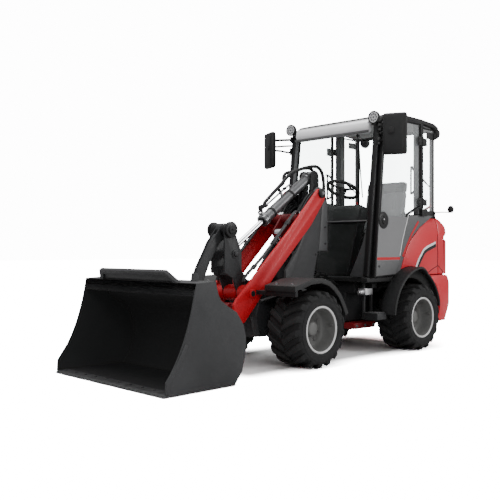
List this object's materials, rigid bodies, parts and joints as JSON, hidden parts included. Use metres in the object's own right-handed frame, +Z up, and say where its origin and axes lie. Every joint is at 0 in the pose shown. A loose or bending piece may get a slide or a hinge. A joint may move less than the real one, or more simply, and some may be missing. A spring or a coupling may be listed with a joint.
{
  "type": "articulated compact wheel loader",
  "caption": "Compact wheel loader hinged at its middle, with a glazed cab, parallel-lift loader arms, a tilting bucket on a quick hitch, opening doors and an engine hood.",
  "frame": {"origin": "on the ground under the middle of the overall box", "axes": "+X forward to the bucket, +Y to the operator's left, +Z up"},
  "size_m": [4.143, 1.8518, 2.4],
  "materials": {
    "black_paint": "satin",
    "black_plastic": "matte",
    "cast_grey": "matte",
    "charcoal_paint": "satin",
    "glass": "clear",
    "pin_steel": "satin",
    "red_paint": "gloss",
    "rim_grey": "satin",
    "rod_steel": "polished",
    "rubber": "matte",
    "seat_cover": "matte",
    "silver_paint": "satin"
  },
  "bodies": {
    "rear_frame": {"rear_frame": "charcoal_paint", "rear_axle": "cast_grey", "engine": "cast_grey", "counterweight": "red_paint", "side_panels": "red_paint", "cab_sides": "black_plastic", "rear_fenders": "black_plastic", "steps": "black_paint", "cab_floor": "black_plastic", "engine_cover": "black_plastic", "cab_posts": "black_paint", "cab_roof": "black_plastic", "front_header": "silver_paint", "lower_glass": "glass", "windshield": "glass", "rear_glass": "glass", "side_glass": "glass", "dash": "black_plastic", "steering_wheel": "black_plastic", "seat_base": "black_plastic", "seat_cushion": "seat_cover", "seat_back": "seat_cover", "mirrors": "black_plastic", "work_lights": "black_plastic"},
    "front_frame": {"front_frame": "charcoal_paint", "front_axle": "cast_grey", "mast": "charcoal_paint", "front_fenders": "black_plastic"},
    "loader_arm": {"arm_beams": "red_paint", "arm_cross": "charcoal_paint"},
    "hitch_pin": {"hitch_pin": "pin_steel"},
    "bucket": {"quick_hitch": "red_paint", "bucket": "charcoal_paint"},
    "crank_pin": {"crank_pin": "pin_steel"},
    "crank": {"crank": "charcoal_paint"},
    "link_pin": {"link_pin": "pin_steel"},
    "link": {"link": "charcoal_paint"},
    "tilt_barrel": {"tilt_barrel": "charcoal_paint"},
    "tilt_rod": {"tilt_rod": "rod_steel"},
    "lift_barrel": {"lift_barrel": "charcoal_paint"},
    "lift_rod": {"lift_rod": "rod_steel"},
    "left_door": {"left_door": "black_paint", "left_door_glass": "glass"},
    "right_door": {"right_door": "black_paint", "right_door_glass": "glass"},
    "hood": {"hood": "red_paint"},
    "wheel_front_left": {"tyre_front_left": "rubber", "rim_front_left": "rim_grey"},
    "wheel_front_right": {"tyre_front_right": "rubber", "rim_front_right": "rim_grey"},
    "wheel_rear_left": {"tyre_rear_left": "rubber", "rim_rear_left": "rim_grey"},
    "wheel_rear_right": {"tyre_rear_right": "rubber", "rim_rear_right": "rim_grey"}
  },
  "joints": [
    {"name": "steering", "type": "hinge", "parent": "rear_frame", "child": "front_frame", "pos_m": [-0.4465, 0, 0.44], "axis": [0, 0, 1], "range_deg": [-40, 40]},
    {"name": "arm_lift", "type": "hinge", "parent": "front_frame", "child": "loader_arm", "pos_m": [-0.2275, 0, 1.565], "axis": [0, -1, 0], "range_deg": [0, 72]},
    {"name": "hitch_level", "type": "hinge", "parent": "loader_arm", "child": "hitch_pin", "pos_m": [1.1135, 0, 0.325], "axis": [0, -1, 0], "range_deg": [-77, 1]},
    {"name": "bucket_tilt", "type": "hinge", "parent": "hitch_pin", "child": "bucket", "pos_m": [1.1135, 0, 0.325], "axis": [0, 1, 0], "range_deg": [-40, 45]},
    {"name": "crank_lift", "type": "hinge", "parent": "loader_arm", "child": "crank_pin", "pos_m": [0.7095, 0, 0.64], "axis": [0, -1, 0], "range_deg": [-40, 1]},
    {"name": "crank_tilt", "type": "hinge", "parent": "crank_pin", "child": "crank", "pos_m": [0.7095, 0, 0.64], "axis": [0, -1, 0], "range_deg": [-20, 18]},
    {"name": "link_lift", "type": "hinge", "parent": "crank", "child": "link_pin", "pos_m": [0.8605, 0, 1.195], "axis": [0, -1, 0], "range_deg": [-1, 28]},
    {"name": "link_tilt", "type": "hinge", "parent": "link_pin", "child": "link", "pos_m": [0.8605, 0, 1.195], "axis": [0, -1, 0], "range_deg": [-16, 18]},
    {"name": "tilt_cylinder_swing", "type": "hinge", "parent": "front_frame", "child": "tilt_barrel", "pos_m": [-0.3005, 0, 1.742], "axis": [0, -1, 0], "range_deg": [-1, 70]},
    {"name": "tilt_cylinder_stroke", "type": "slide", "parent": "tilt_barrel", "child": "tilt_rod", "axis": [0.8223, 0, -0.569], "range_m": [-0.1, 0.11]},
    {"name": "lift_cylinder_swing", "type": "hinge", "parent": "front_frame", "child": "lift_barrel", "pos_m": [-0.2405, 0, 0.388], "axis": [0, -1, 0], "range_deg": [-1, 8]},
    {"name": "lift_cylinder_stroke", "type": "slide", "parent": "lift_barrel", "child": "lift_rod", "axis": [0.412, 0, 0.9112], "range_m": [-0.01, 0.63]},
    {"name": "wheel_front_left_spin", "type": "hinge", "parent": "front_frame", "child": "wheel_front_left", "pos_m": [0.3535, 0.535, 0.336], "axis": [0, 1, 0], "continuous": true},
    {"name": "wheel_front_right_spin", "type": "hinge", "parent": "front_frame", "child": "wheel_front_right", "pos_m": [0.3535, -0.535, 0.336], "axis": [0, 1, 0], "continuous": true},
    {"name": "wheel_rear_left_spin", "type": "hinge", "parent": "rear_frame", "child": "wheel_rear_left", "pos_m": [-1.2465, 0.535, 0.336], "axis": [0, 1, 0], "continuous": true},
    {"name": "wheel_rear_right_spin", "type": "hinge", "parent": "rear_frame", "child": "wheel_rear_right", "pos_m": [-1.2465, -0.535, 0.336], "axis": [0, 1, 0], "continuous": true},
    {"name": "left_door_swing", "type": "hinge", "parent": "rear_frame", "child": "left_door", "pos_m": [-1.4085, 0.604, 1.6], "axis": [0, 0, 1], "range_deg": [0, 95]},
    {"name": "right_door_swing", "type": "hinge", "parent": "rear_frame", "child": "right_door", "pos_m": [-1.4085, -0.604, 1.6], "axis": [0, 0, -1], "range_deg": [0, 95]},
    {"name": "hood_lift", "type": "hinge", "parent": "rear_frame", "child": "hood", "pos_m": [-1.7985, 0, 1.39], "axis": [0, 1, 0], "range_deg": [0, 60]}
  ],
  "couplings": [
    {"joint": "hitch_level", "follows": "arm_lift", "ratio": -1.001},
    {"joint": "crank_lift", "follows": "arm_lift", "ratio": -0.434},
    {"joint": "crank_tilt", "follows": "bucket_tilt", "ratio": -0.348},
    {"joint": "link_lift", "follows": "arm_lift", "ratio": 0.287},
    {"joint": "link_tilt", "follows": "bucket_tilt", "ratio": 0.245},
    {"joint": "tilt_cylinder_swing", "follows": "arm_lift", "ratio": 0.949},
    {"joint": "tilt_cylinder_stroke", "follows": "bucket_tilt", "m_per_rad": 0.117},
    {"joint": "lift_cylinder_swing", "follows": "arm_lift", "ratio": 0.036},
    {"joint": "lift_cylinder_stroke", "follows": "arm_lift", "m_per_rad": 0.487}
  ]
}
